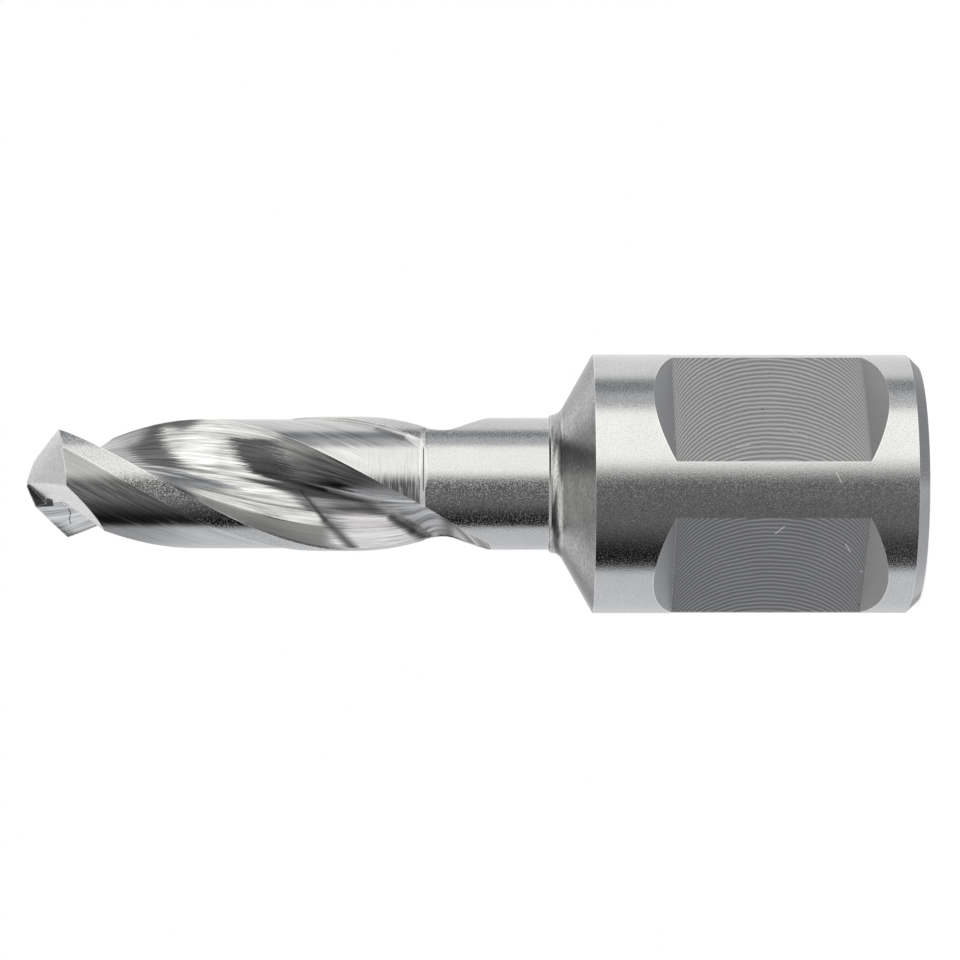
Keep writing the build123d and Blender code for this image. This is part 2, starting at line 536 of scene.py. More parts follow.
@dataclass(frozen=True)
class Mark:
    """A scratch, a speck, a dark line or a soft patch of painted highlight or painted shade, between
    two points of the drill.

    Args:
        start: where it starts, in millimetres.
        end: where it ends; the same point makes a round speck.
        width: across it, in millimetres.
        level: how much light it gives back.
        strength: how much of the surface below it covers.
        sharp: how much of its half width is full, before its edge fades.
        roughness: of the steel in it.
    """

    start: tuple[float, float, float]
    end: tuple[float, float, float]
    width: float
    level: float
    strength: float = 0.8
    sharp: float = 0.4
    roughness: float = MARK_ROUGHNESS

    def cut(self, graph: Graph, effects: Effects, place: Place, below: Surface) -> Surface:
        """Lays the mark over a surface.

        Args:
            graph: the material's graph.
            effects: the shared groups.
            place: where the point is.
            below: the surface that it marks.

        Returns:
            The marked surface.
        """
        made = graph.node("Group", node_tree=effects.scratch)
        for name, value in (("Point", place.point), ("Start", self.start), ("End", self.end)):
            graph.feed(made.inputs[name], value)
        graph.feed(made.inputs["Width"], self.width)
        graph.feed(made.inputs["Sharp"], self.sharp)
        mask = graph.product(made.outputs["Mask"], self.strength)
        return over(graph, mask, below, Surface(self.level, self.roughness, below.relief))


def cut_all(
    marks: tuple[Mark, ...], graph: Graph, effects: Effects, place: Place, below: Surface
) -> Surface:
    """Lays marks over a surface in their order.

    Args:
        marks: what is laid.
        graph: the material's graph.
        effects: the shared groups.
        place: where the point is.
        below: the surface that they mark.

    Returns:
        The marked surface.
    """
    for mark in marks:
        below = mark.cut(graph, effects, place, below)
    return below


def over(graph: Graph, mask: Feed, below: Surface, above: Surface) -> Surface:
    """Puts one surface over another where the mask is 1.

    Args:
        graph: the material's graph.
        mask: where the upper surface is.
        below: the surface that is already there.
        above: the one that goes over it.

    Returns:
        The two as one surface.
    """
    return Surface(
        graph.blend(mask, below.level, above.level),
        graph.blend(mask, below.roughness, above.roughness),
        graph.blend(mask, below.relief, above.relief),
    )


@dataclass
class Shank:
    """The thick shank: ground cylinder, end face, and two milled flats with a ramp at each end.

    Args:
        radius: of the cylinder, in millimetres as every length of the drill.
        chamfer: how far up the chamfer of the end face reaches.
        chamfer_shade: how dark the chamfer is against the cylinder.
        flat_distance: from the axis to the floor of each flat.
        flat_middle: the height of the floors' middle.
        floor_half: half of a floor's length.
        slack: how near a point has to be to count as on the cylinder or on a floor.
        mill_radius: of the end mill that left the arcs.
        feed_pitch: from one arc to the next.
        wander: how far the arcs stray.
        wander_grain: how many times they stray in a millimetre.
        arc_depth: how high their crests stand.
        valley_level: how light the valleys between the arcs are against the flat's finish.
        crest_shine: how much lighter than a valley a crest is.
        edge_line: across the dark line where a ramp meets a floor.
        edge_line_shade: how dark that line is against the floor.
        ramp_level: how light the ramps are against the flat's finish.
        ramp_roughness: of the ramps.
        ground: the cylinder's finish.
        first_flat: the finish of the flat that faces +X.
        shaded_second_flat: the finish of the flat that faces -Y: the first flat's finish with a lower
            level, which is painted shade.
        marks: its nicks and specks.
    """

    radius: float = 9.525
    chamfer: float = 0.84
    chamfer_shade: float = 0.72
    flat_distance: float = 8.0
    flat_middle: float = 11.175
    floor_half: float = 6.925
    slack: float = 0.02
    mill_radius: float = 7.3
    feed_pitch: float = 0.435
    wander: float = 0.35
    wander_grain: float = 0.5
    arc_depth: float = 0.01
    valley_level: float = 0.75
    crest_shine: float = 0.65
    edge_line: float = 0.09
    edge_line_shade: float = 0.55
    ramp_level: float = 1.25
    ramp_roughness: float = 0.3
    ground: GroundFinish = GroundFinish(0.62, 0.11, (12.0, 12.0, 12.0), 1.1, 0.005, speck=0.16)
    first_flat: GroundFinish = GroundFinish(0.44, 0.4, (9.0, 9.0, 9.0), 0.45, 0.004)
    # The same milled finish as the first flat, darker: painted shade.
    shaded_second_flat: GroundFinish = GroundFinish(0.28, 0.4, (9.0, 9.0, 9.0), 0.45, 0.004)
    marks: tuple[Mark, ...] = (
        Mark((7.55, -5.80, 6.77), (7.10, -6.34, 6.42), 0.09, 1.0),
        Mark((3.51, -8.00, 10.98), (4.26, -8.00, 10.38), 0.10, 1.0),
        Mark((8.00, -3.79, 13.80), (8.00, -3.50, 12.79), 0.07, 1.0, 0.7),
        Mark((8.00, -2.13, 9.85), (8.00, -2.91, 8.68), 0.06, 0.9, 0.6),
        Mark((2.32, -8.00, 5.89), (1.56, -8.00, 5.47), 0.08, 1.0),
        Mark((7.93, -5.27, 16.00), (7.90, -5.31, 15.90), 0.12, 1.0),
        Mark((-0.63, -8.00, 4.52), (-0.63, -8.00, 4.52), 0.22, 1.0),
        Mark((8.00, -0.05, 11.75), (8.00, -0.05, 11.75), 0.20, 0.05),
        Mark((-4.31, -8.00, 4.45), (-4.31, -8.00, 4.45), 0.22, 0.05),
        Mark((5.01, -8.10, 21.24), (4.93, -8.15, 21.05), 0.10, 0.9, 0.6),
    )

    def dress(self, graph: Graph, effects: Effects, place: Place) -> Surface:
        """Lays the ground finish on the cylinder and the milled marks on the floors of the flats.

        Args:
            graph: the material's graph.
            effects: the shared groups.
            place: where the point is.

        Returns:
            The shank's surface.
        """
        surface = self.ground.lay(graph, effects, place.point)
        surface.shade(graph, graph.below(place.z, self.chamfer), self.chamfer_shade)
        on_flats = graph.below(place.radius, self.radius - self.slack)
        on_flats = graph.product(on_flats, graph.above(place.z, self.chamfer))
        across_second = graph.product(place.y, -1.0)
        second = graph.above(across_second, place.x)
        first_ramps, shaded_second_ramps = (
            finish.worked(level=finish.level * self.ramp_level, roughness=self.ramp_roughness)
            for finish in (self.first_flat, self.shaded_second_flat)
        )
        ramps = first_ramps.lay(graph, effects, place.point)
        ramps = over(graph, second, ramps, shaded_second_ramps.lay(graph, effects, place.point))
        surface = over(graph, on_flats, surface, ramps)
        for finish, across, travel in (
            (self.first_flat, place.x, place.y),
            (self.shaded_second_flat, across_second, place.x),
        ):
            floor = self._milled(graph, finish.lay(graph, effects, place.point), effects, place, travel)
            on_floor = graph.product(on_flats, self._floor(graph, across))
            surface = over(graph, on_floor, surface, floor)
        return cut_all(self.marks, graph, effects, place, surface)

    def normal(self, graph: Graph, place: Place, facing: Socket) -> Socket:
        """Turns the normal straight out from the axis on the cylinder.

        Args:
            graph: the material's graph.
            place: where the point is.
            facing: the normal elsewhere.

        Returns:
            The normal.
        """
        on_cylinder = graph.above(place.radius, self.radius - self.slack)
        above_chamfer = graph.above(place.z, self.chamfer)
        round_part = graph.product(on_cylinder, above_chamfer)
        return graph.either(round_part, facing, place.radial)

    def _floor(self, graph: Graph, across: Socket) -> Socket:
        """1 on the floor of the flat whose distance from the axis is given."""
        gap = graph.maths(Maths.SIZE, graph.maths(Maths.SUBTRACT, across, self.flat_distance))
        return graph.below(gap, self.slack)

    def _milled(
        self, graph: Graph, base: Surface, effects: Effects, place: Place, travel: Socket
    ) -> Surface:
        """The milled floor of one flat, with a dark line where each ramp meets it.

        Args:
            graph: the material's graph.
            base: the finish between the milled marks.
            effects: the shared groups.
            place: where the point is.
            travel: how far the point is along the travel of the end mill.

        Returns:
            The floor's surface.
        """
        wander = graph.noise(place.point, self.wander_grain)
        moved = graph.maths(Maths.MULTIPLY_ADD, wander, self.wander, travel)
        beside = graph.maths(Maths.SUBTRACT, place.z, self.flat_middle)
        made = graph.node("Group", node_tree=effects.arcs)
        graph.feed(made.inputs["Travel"], moved)
        graph.feed(made.inputs["Beside"], beside)
        graph.feed(made.inputs["Radius"], self.mill_radius)
        graph.feed(made.inputs["Pitch"], self.feed_pitch)
        height = made.outputs["Height"]
        crest = graph.product(height, height)
        shine = graph.maths(Maths.MULTIPLY_ADD, crest, self.crest_shine, self.valley_level)
        relief = graph.maths(Maths.MULTIPLY_ADD, height, self.arc_depth, base.relief)
        floor = Surface(graph.product(base.level, shine), base.roughness, relief)
        line_start = self.floor_half - self.edge_line
        line_full = self.floor_half - self.edge_line / 3
        at_end = graph.step(graph.maths(Maths.SIZE, beside), line_start, line_full)
        floor.shade(graph, at_end, self.edge_line_shade)
        return floor


@dataclass
class Shoulder:
    """The coned shoulder with its root radius, and the neck, all turned.

    Args:
        start: the height where the cone starts.
        cone_angle: how far the cone's normal leans up from the level, in degrees.
        cone_foot: the height where the cone meets the root radius.
        root_middle: from the axis to the middle of the root radius.
        root_end: the height of that middle, where the root radius ends.
        root_shine: how light the root radius is against the cone.
        neck_start: the height where the ground neck starts.
        neck_radius: of the neck.
        slack: how near a point has to be to count as on the neck.
        cone: the cone's finish.
        neck: the neck's finish.
        marks: their nicks and specks.
    """

    start: float = 23.83
    cone_angle: float = 60.6
    cone_foot: float = 26.054
    root_middle: float = 6.07
    root_end: float = 26.925
    root_shine: float = 1.45
    neck_start: float = 27.09
    neck_radius: float = 4.86
    slack: float = 0.03
    cone: GroundFinish = GroundFinish(
        0.32, 0.24, (3.0, 3.0, 14.0), 1.5, 0.004, patch_size=8.0, patch_share=0.4
    )
    neck: GroundFinish = GroundFinish(0.62, 0.11, (12.0, 12.0, 12.0), 0.9, 0.005, speck=0.28)
    marks: tuple[Mark, ...] = (
        Mark((1.32, -6.83, 25.27), (0.83, -7.17, 25.13), 0.10, 1.0),
        Mark((5.54, -6.08, 24.56), (5.54, -6.08, 24.56), 0.18, 1.0, 0.7),
        Mark((6.22, -3.99, 25.03), (6.22, -3.99, 25.03), 0.18, 1.0, 0.6),
    )

    def dress(self, graph: Graph, effects: Effects, place: Place) -> Surface:
        """Lays the turned lines on the cone and the ground finish on the neck.

        Args:
            graph: the material's graph.
            effects: the shared groups.
            place: where the point is.

        Returns:
            The surface of the shoulder and neck.
        """
        surface = self.cone.lay(graph, effects, place.point)
        surface.shade(graph, graph.above(place.z, self.cone_foot), self.root_shine)
        past = graph.above(place.z, self.neck_start)
        surface = over(graph, past, surface, self.neck.lay(graph, effects, place.point))
        return cut_all(self.marks, graph, effects, place, surface)

    def normal(self, graph: Graph, place: Place, facing: Socket) -> Socket:
        """The exact normal of the cone, of its root radius and of the neck.

        In words: on the cone it leans to the tip by the cone's angle, on the root radius it points to
        the middle of that radius, and on the neck straight out.

        Args:
            graph: the material's graph.
            place: where the point is.
            facing: the normal so far.

        Returns:
            The normal.
        """
        lean = math.radians(self.cone_angle)
        up = (0.0, 0.0, 1.0)
        on_cone = graph.plus(graph.times(place.radial, math.cos(lean)), graph.times(up, math.sin(lean)))
        out = graph.maths(Maths.SUBTRACT, self.root_middle, place.radius)
        rise = graph.maths(Maths.SUBTRACT, self.root_end, place.z)
        on_root = graph.unit(graph.plus(graph.times(place.radial, out), graph.times(up, rise)))
        normal = graph.either(graph.above(place.z, self.cone_foot), on_cone, on_root)
        normal = graph.either(graph.above(place.z, self.root_end), normal, facing)
        at_radius = graph.above(place.radius, self.neck_radius - self.slack)
        on_neck = graph.product(graph.above(place.z, self.neck_start), at_radius)
        return graph.either(on_neck, normal, place.radial)


@dataclass(frozen=True)
class FluteSection:
    """The section of the first flute at its full depth, with its lip along +X.

    Args:
        rake_middle: the middle of the rake's arc.
        rake_end: where that arc meets the root radius.
        rake_step: the arc's direction there, back to the lip.
        root_middle: the middle of the root radius.
        wall_end: where the root radius meets the straight heel wall.
        wall_step: the direction along the wall, out to the heel.
        wall_normal: square off the wall, into the flute.
    """

    rake_middle: Vector
    rake_end: Vector
    rake_step: Vector
    root_middle: Vector
    wall_end: Vector
    wall_step: Vector
    wall_normal: Vector


@dataclass
class Body:
    """The fluted body: margins, cleared lands and flutes.

    Args:
        start: the height above which every point is on the body.
        drill_radius: to the margins.
        cleared_radius: to the cleared lands.
        neck_radius: of the neck that the flutes run out into.
        slack: how near a point has to be to count as on a land or on the neck.
        fine_slack: the same, for the crescent and the line where the clearance ends.
        rake_slack: the same, for the rake.
        normal_fade: the height over which the exact normal of the flutes fades in.
        least_agreement: how well it has to agree with the mesh's normal, as a cosine.
        least_upright: how nearly a margin or land has to face straight out, as a cosine.
        lead: the height of one turn of the flutes.
        corner_height: the height of a lip's outer corner.
        lip_angle: where the first lip points, in degrees.
        lip_lead: how far the lip is beside the axis.
        rake_floor: how far the deepest point of the rake's arc is beside the axis.
        rake_floor_reach: how far that point is along the lip.
        flute_opening: from one edge of a flute to the other, in degrees.
        heel_wall_angle: where the straight heel wall points in the section, in degrees.
        root_radius: between the rake and the heel wall.
        runout_start: the height below which the flutes run out.
        runout_end: the height where their cut into the neck ends.
        lined_to: the height up to which the lands have lines round the drill.
        lined_fade: half of the height over which the lines fade.
        lined_aside: how far up the picture the lines are gone, and where they are full.
        land_end: the height where the clearance ends.
        crescent_middle: how far up the picture the middle of its crescent of painted highlight is.
        crescent_half: half of the crescent's length.
        crescent_depth: the crescent's depth in the middle.
        crescent_soft: how soft its lower edge is.
        crescent_rim: how far above the clearance's end it is gone, and where it is full.
        crescent_highlight: how bright its painted highlight is.
        ring_line: how far under the clearance's end its line of painted shade is, from and to, and how
            soft.
        ring_line_ends: where the line is gone and where it is full, as the square of the distance from
            the crescent's middle over its half length.
        ring_shade_level: how dark the line's painted shade is.
        ring_roughness: of the crescent and the line.
        margin: the margins' finish.
        land: the lands' finish.
        land_shade: the heights between which the lands darken, and how dark they get.
        lined_land: the finish of the lines round the drill.
        flute: the flutes' finish.
        outlet: the run-outs' finish.
        outlet_middle: the angle about the axis that is up the picture, in degrees.
        outlet_height: the height where the run-out starts.
        outlet_slope: how far the start of its streaks moves for each millimetre of height.
        outlet_bend: how much that changes with the height.
        outlet_from: how far up the picture the streaks start.
        outlet_fade: the distance over which they fade in.
        outlet_top: the height where they end.
        outlet_top_fade: half of the height over which they fade out.
        edge_zone: the radii of the band along the cutting edge, rougher and darkened as painted shade,
            and how soft its sides are.
        edge_zone_heights: its heights, and how soft its ends are.
        edge_finish_and_shade: its finish: rougher than the flute's, with a lower level that is painted
            shade.
        lines: the radii of each line of painted shade beside the band, and how soft its sides are.
        line_heights: the lines' heights, and how soft their ends are.
        line_shade: how dark they are against the flute.
        marks: soft patches of painted highlight and painted shade on the flutes and run-outs.
        land_highlight_and_shade: a soft patch of painted shade and one of painted highlight on the
            lands.
    """

    start: float = 35.8
    drill_radius: float = 4.95
    cleared_radius: float = 4.75
    neck_radius: float = 4.86
    slack: float = 0.03
    fine_slack: float = 0.005
    rake_slack: float = 0.1
    normal_fade: float = 0.8
    least_agreement: float = 0.8
    least_upright: float = 0.97
    lead: float = 54.5
    corner_height: float = 62.77
    lip_angle: float = -1.4
    lip_lead: float = 1.08
    rake_floor: float = 0.67
    rake_floor_reach: float = 2.4
    flute_opening: float = 102.5
    heel_wall_angle: float = 127.0
    root_radius: float = 1.6
    runout_start: float = 36.43
    runout_end: float = 30.0
    lined_to: float = 40.6
    lined_fade: float = 0.8
    lined_aside: tuple[float, float] = (2.9, 2.3)
    land_end: float = 36.37
    crescent_middle: float = 1.05
    crescent_half: float = 2.35
    crescent_depth: float = 0.52
    crescent_soft: float = 0.03
    crescent_rim: tuple[float, float] = (0.08, 0.02)
    crescent_highlight: float = 0.85
    ring_line: tuple[float, float, float] = (0.23, 0.15, 0.04)
    ring_line_ends: tuple[float, float] = (0.55, 0.35)
    ring_shade_level: float = 0.12
    ring_roughness: float = 0.4
    margin: GroundFinish = GroundFinish(0.6, 0.1, (10.0, 10.0, 10.0), 1.9, 0.007, speck=0.26)
    land: GroundFinish = GroundFinish(
        0.6, 0.16, (6.0, 6.0, 0.3), 0.6, 0.006, speck=0.1, patch_size=4.0, patch_share=0.6
    )
    land_shade: tuple[float, float, float] = (52.0, 58.0, 0.62)
    lined_land: GroundFinish = GroundFinish(
        0.6, 0.14, (0.5, 0.5, 11.0), 1.3, 0.006, speck=0.2, patch_size=4.0, patch_share=0.1
    )
    flute: GroundFinish = GroundFinish(
        0.62, 0.09, (8.0, 8.0, 0.3), 1.9, 0.01, patch_size=5.0, patch_share=1.3
    )
    outlet: GroundFinish = GroundFinish(
        0.6, 0.36, (6.0, 0.2, 0.2), 3.4, 0.01, patch_size=3.0, patch_share=1.2
    )
    outlet_middle: float = 47.6
    outlet_height: float = 37.0
    outlet_slope: float = 0.65
    outlet_bend: float = 0.0192
    outlet_from: float = -3.1
    outlet_fade: float = 0.5
    outlet_top: float = 44.0
    outlet_top_fade: float = 1.5
    edge_zone: tuple[float, float, float] = (3.36, 5.0, 0.1)
    edge_zone_heights: tuple[float, float, float] = (43.2, 52.4, 1.2)
    edge_finish_and_shade: GroundFinish = GroundFinish(
        0.42, 0.5, (6.0, 6.0, 0.25), 0.5, 0.004, patch_size=4.0, patch_share=0.3
    )
    lines: tuple[tuple[float, float, float], ...] = ((2.12, 2.30, 0.1), (3.26, 3.36, 0.06))
    line_heights: tuple[float, float, float] = (42.0, 53.0, 2.0)
    line_shade: float = 0.55
    # Soft patches of painted highlight and painted shade on the flutes and run-outs.
    marks: tuple[Mark, ...] = (
        Mark((0.50, -1.10, 43.10), (-0.60, -1.20, 39.60), 0.9, 0.9, 0.5, 0.0, 0.6),
        Mark((0.47, -1.10, 45.25), (-1.20, -2.55, 43.43), 0.6, 0.06, 0.9, 0.0),
        Mark((-1.20, -2.55, 43.43), (-3.15, -3.67, 41.32), 1.3, 0.09, 0.85, 0.0),
        Mark((-2.30, -2.40, 41.10), (-3.00, -2.20, 39.40), 3.0, 0.95, 0.5, 0.0),
        Mark((-3.60, -1.05, 35.20), (-4.70, -1.35, 33.00), 2.2, 1.0, 0.8, 0.0),
        Mark((-2.10, -1.43, 38.60), (-3.62, -1.38, 37.09), 1.1, 0.05, 0.85, 0.0),
        Mark((-3.62, -1.38, 37.09), (-4.75, -1.28, 35.90), 1.2, 0.05, 0.85, 0.0),
    )
    # A soft patch of painted shade and one of painted highlight on the lands.
    land_highlight_and_shade: tuple[Mark, ...] = (
        Mark((4.60, 1.25, 39.60), (4.73, 0.10, 37.80), 0.8, 0.2, 0.6, 0.0),
        Mark((4.74, 0.30, 37.30), (4.86, -0.55, 36.45), 0.6, 1.0, 0.85, 0.6),
    )

    def dress(self, graph: Graph, effects: Effects, place: Place) -> Surface:
        """Lays polish streaks along the flutes and ground finishes on margins and lands, with painted
        highlight and painted shade over them.

        Args:
            graph: the material's graph.
            effects: the shared groups.
            place: where the point is.

        Returns:
            The body's surface.
        """
        surface = self._shaded(graph, effects, place, self.flute.lay(graph, effects, place.section))
        surface = self._let_out(graph, effects, place, surface)
        surface = cut_all(self.marks, graph, effects, place, surface)
        streaked = self.land.lay(graph, effects, place.section)
        low, high, shade = self.land_shade
        streaked.shade(graph, graph.step(place.z, low, high), shade)
        lined = self.lined_land.lay(graph, effects, place.point)
        near_end = graph.step(place.z, self.lined_to + self.lined_fade, self.lined_to - self.lined_fade)
        beside = graph.step(self._aside(graph, place), *self.lined_aside)
        near_end = graph.product(near_end, beside)
        land = graph.above(place.radius, self.cleared_radius - self.slack)
        surface = over(graph, land, surface, over(graph, near_end, streaked, lined))
        margin = graph.above(place.radius, (self.drill_radius + self.cleared_radius) / 2)
        surface = over(graph, margin, surface, self.margin.lay(graph, effects, place.point))
        outside = graph.above(place.radius, self.cleared_radius - self.fine_slack)
        # Painted highlight on the crescent and painted shade on the line inside it.
        crescent, line = self._crescent(graph, place)
        for mask, level in ((crescent, self.crescent_highlight), (line, self.ring_shade_level)):
            drawn = Surface(level, self.ring_roughness, surface.relief)
            surface = over(graph, graph.product(mask, outside), surface, drawn)
        return cut_all(self.land_highlight_and_shade, graph, effects, place, surface)

    def _crescent(self, graph: Graph, place: Place) -> tuple[Socket, Socket]:
        """The crescent of painted highlight where each clearance ends, and the thin line of painted
        shade inside it.

        In words: its upper edge is level. Its lower edge is below that by the crescent's depth in the
        middle and by less to each side, with the square of the distance from the middle.

        Args:
            graph: the material's graph.
            place: where the point is.

        Returns:
            The crescent's mask and the line's.
        """
        aside = graph.maths(Maths.SUBTRACT, self._aside(graph, place), self.crescent_middle)
        across = graph.maths(Maths.DIVIDE, aside, self.crescent_half)
        square = graph.product(across, across)
        lowest = self.land_end - self.crescent_depth
        low = graph.maths(Maths.MULTIPLY_ADD, square, self.crescent_depth, lowest)
        rise = graph.maths(Maths.SUBTRACT, place.z, low)
        above = graph.step(rise, -self.crescent_soft, self.crescent_soft)
        rim_end, rim_start = self.crescent_rim
        below = graph.step(place.z, self.land_end + rim_end, self.land_end + rim_start)
        line_low, line_high, soft = self.ring_line
        line = graph.band(place.z, self.land_end - line_low, self.land_end - line_high, soft)
        line = graph.product(line, graph.step(square, *self.ring_line_ends))
        return graph.product(above, below), line

    def _shaded(self, graph: Graph, effects: Effects, place: Place, below: Surface) -> Surface:
        """Lays a rougher band with painted shade along the cutting edge of each flute, and two lines of
        painted shade beside it.

        Args:
            graph: the material's graph.
            effects: the shared groups.
            place: where the point is.
            below: the flutes' finish.

        Returns:
            The shaded finish.
        """
        # The band is rougher, and its lower level is painted shade; the two lines beside it are painted
        # shade.
        beside = graph.maths(Maths.SIZE, graph.parts(place.section)[1])
        on_rake = graph.below(beside, self.lip_lead + self.rake_slack)
        edge = graph.product(graph.band(place.radius, *self.edge_zone), on_rake)
        edge = graph.product(edge, graph.band(place.z, *self.edge_zone_heights))
        surface = over(graph, edge, below, self.edge_finish_and_shade.lay(graph, effects, place.section))
        heights = graph.product(graph.band(place.z, *self.line_heights), on_rake)
        for line in self.lines:
            share = graph.product(graph.band(place.radius, *line), heights)
            surface.shade(graph, share, self.line_shade)
        return surface

    def _let_out(self, graph: Graph, effects: Effects, place: Place, below: Surface) -> Surface:
        """Lays coarser streaks where the grinding wheel left the flutes.

        In words: a streak is where the distance beside the middle of the run-out stays the same, and
        above the run-out that distance is turned back by the helix. They start where the distance up
        the picture, less the slope times the height above the run-out, plus the bend times that height
        squared, passes a number.

        Args:
            graph: the material's graph.
            effects: the shared groups.
            place: where the point is.
            below: the flutes' surface.

        Returns:
            The surface with the run-outs.
        """
        side = self._side(graph, place)
        out = graph.product(graph.dot(place.point, self.outlet_upward), side)
        above = graph.maths(Maths.SUBTRACT, place.z, self.outlet_height)
        slope = graph.maths(Maths.MULTIPLY_ADD, above, self.outlet_bend, -self.outlet_slope)
        across = graph.maths(Maths.MULTIPLY_ADD, above, slope, out)
        turn = graph.product(graph.maths(Maths.MOST, above, 0.0), -2 * math.pi / self.lead)
        beside = graph.dot(graph.spin(place.point, turn), self.outlet_forward)
        beside = graph.product(beside, side)
        streaks = self.outlet.lay(graph, effects, graph.together(beside, place.z, out))
        share = graph.step(across, self.outlet_from, self.outlet_from + self.outlet_fade)
        fade = self.outlet_top_fade
        under_top = graph.step(place.z, self.outlet_top + fade, self.outlet_top - fade)
        return over(graph, graph.product(share, under_top), below, streaks)

    def _aside(self, graph: Graph, place: Place) -> Socket:
        """How far a point of a land is up the picture, measured the same way on both lands."""
        front = graph.maths(Maths.SIGN, graph.dot(place.point, self.outlet_forward))
        return graph.product(graph.dot(place.point, self.outlet_upward), front)

    @property
    def outlet_upward(self) -> tuple[float, float, float]:
        """The level direction away from the first flute's run-out, which is up in the picture."""
        middle = math.radians(self.outlet_middle)
        return (math.cos(middle), math.sin(middle), 0.0)

    @property
    def outlet_forward(self) -> tuple[float, float, float]:
        """The level direction across the first flute's run-out, which is out of the picture."""
        middle = math.radians(self.outlet_middle)
        return (math.sin(middle), -math.cos(middle), 0.0)

    @property
    def lip_reach(self) -> float:
        """How far a lip's outer corner is along the lip."""
        return math.sqrt(self.drill_radius**2 - self.lip_lead**2)

    @property
    def flute_middle(self) -> tuple[float, float, float]:
        """The level direction of the first flute's middle in the section."""
        middle = math.atan2(self.lip_lead, self.lip_reach) + math.radians(self.flute_opening / 2)
        return (math.cos(middle), math.sin(middle), 0.0)

    def _side(self, graph: Graph, place: Place) -> Socket:
        """1 in the first flute and -1 in the second, which is the first turned by half a turn."""
        return graph.maths(Maths.SIGN, graph.dot(place.section, self.flute_middle))

    def mask(self, graph: Graph, place: Place) -> Socket:
        """Where the body is, with the cuts of its flutes into the neck.

        Args:
            graph: the material's graph.
            place: where the point is.

        Returns:
            1 on the body and in those cuts, and 0 elsewhere.
        """
        inside = graph.below(place.radius, self.neck_radius - self.slack)
        cut = graph.product(inside, graph.above(place.z, self.runout_end))
        return graph.maths(Maths.MOST, graph.above(place.z, self.start), cut)

    def normal(self, graph: Graph, place: Place, facing: Socket) -> Socket:
        """The exact normal of the flutes, and straight out on the margins and cleared lands.

        Args:
            graph: the material's graph.
            place: where the point is.
            facing: the normal so far.

        Returns:
            The normal.
        """
        flute = self._flute_normal(graph, place)
        full = graph.step(place.z, self.runout_start, self.runout_start + self.normal_fade)
        agrees = graph.above(graph.dot(flute, facing), self.least_agreement)
        normal = graph.either(graph.product(full, agrees), facing, flute)
        outside = graph.above(place.radius, self.cleared_radius - self.slack)
        upright = graph.above(graph.dot(place.radial, facing), self.least_upright)
        return graph.either(graph.product(outside, upright), normal, place.radial)

    def _section(self) -> FluteSection:
        """Works out the section of the first flute.

        In words: the rake's arc goes through the lip's outer corner and turns back at the rake's floor.
        The heel wall goes through the heel at its own angle. The root radius touches the wall and, from
        the inside, the rake's arc: its middle is one root radius off the wall, and from the middle of
        the rake as far as the rake's radius less its own.

        Returns:
            The section.
        """
        rise, run = self.lip_lead - self.rake_floor, self.lip_reach - self.rake_floor_reach
        rake_radius = (run**2 + rise**2) / (2 * rise)
        rake_middle = Vector((self.rake_floor_reach, self.rake_floor + rake_radius, 0))
        corner = math.degrees(math.atan2(self.lip_lead, self.lip_reach))
        heel = math.radians(corner + self.flute_opening)
        heel_point = Vector((math.cos(heel), math.sin(heel), 0)) * self.cleared_radius
        wall = math.radians(self.heel_wall_angle)
        wall_step = Vector((math.cos(wall), math.sin(wall), 0))
        wall_normal = Vector((math.sin(wall), -math.cos(wall), 0))
        start = heel_point + wall_normal * self.root_radius - rake_middle
        along = start.dot(wall_step)
        left = start.length_squared - (rake_radius - self.root_radius) ** 2
        root_middle = rake_middle + start - wall_step * (along + math.sqrt(along**2 - left))
        spoke = (root_middle - rake_middle).normalized()
        return FluteSection(
            rake_middle=rake_middle,
            rake_end=rake_middle + spoke * rake_radius,
            rake_step=Vector((-spoke.y, spoke.x, 0)),
            root_middle=root_middle,
            wall_end=root_middle - wall_normal * self.root_radius,
            wall_step=wall_step,
            wall_normal=wall_normal,
        )

    def _flute_normal(self, graph: Graph, place: Place) -> Socket:
        """The normal of the full-depth flutes.

        In words: in the section it points to the middle of the rake's arc or of the root radius, or
        square off the straight heel wall. Its rise is the twist for each millimetre, times its turning
        moment about the axis. Past the axis the other flute is the same, turned by half a turn.

        Args:
            graph: the material's graph.
            place: where the point is.

        Returns:
            The normal.
        """
        flute = self._section()
        side = self._side(graph, place)
        point = graph.times(graph.flat(place.section), side)
        to_rake = graph.unit(graph.less(tuple(flute.rake_middle), point))
        to_root = graph.unit(graph.less(tuple(flute.root_middle), point))
        on_rake = graph.dot(graph.less(point, tuple(flute.rake_end)), tuple(flute.rake_step))
        on_wall = graph.dot(graph.less(point, tuple(flute.wall_end)), tuple(flute.wall_step))
        level = graph.either(graph.above(on_rake, 0.0), to_root, to_rake)
        level = graph.either(graph.above(on_wall, 0.0), level, tuple(flute.wall_normal))
        out = graph.parts(level)
        at = graph.parts(point)
        moment = graph.maths(Maths.SUBTRACT, graph.product(out[0], at[1]), graph.product(out[1], at[0]))
        turned = graph.together(
            graph.product(out[0], side),
            graph.product(out[1], side),
            graph.product(moment, 2 * math.pi / self.lead),
        )
        return graph.spin(graph.unit(turned), place.turn)


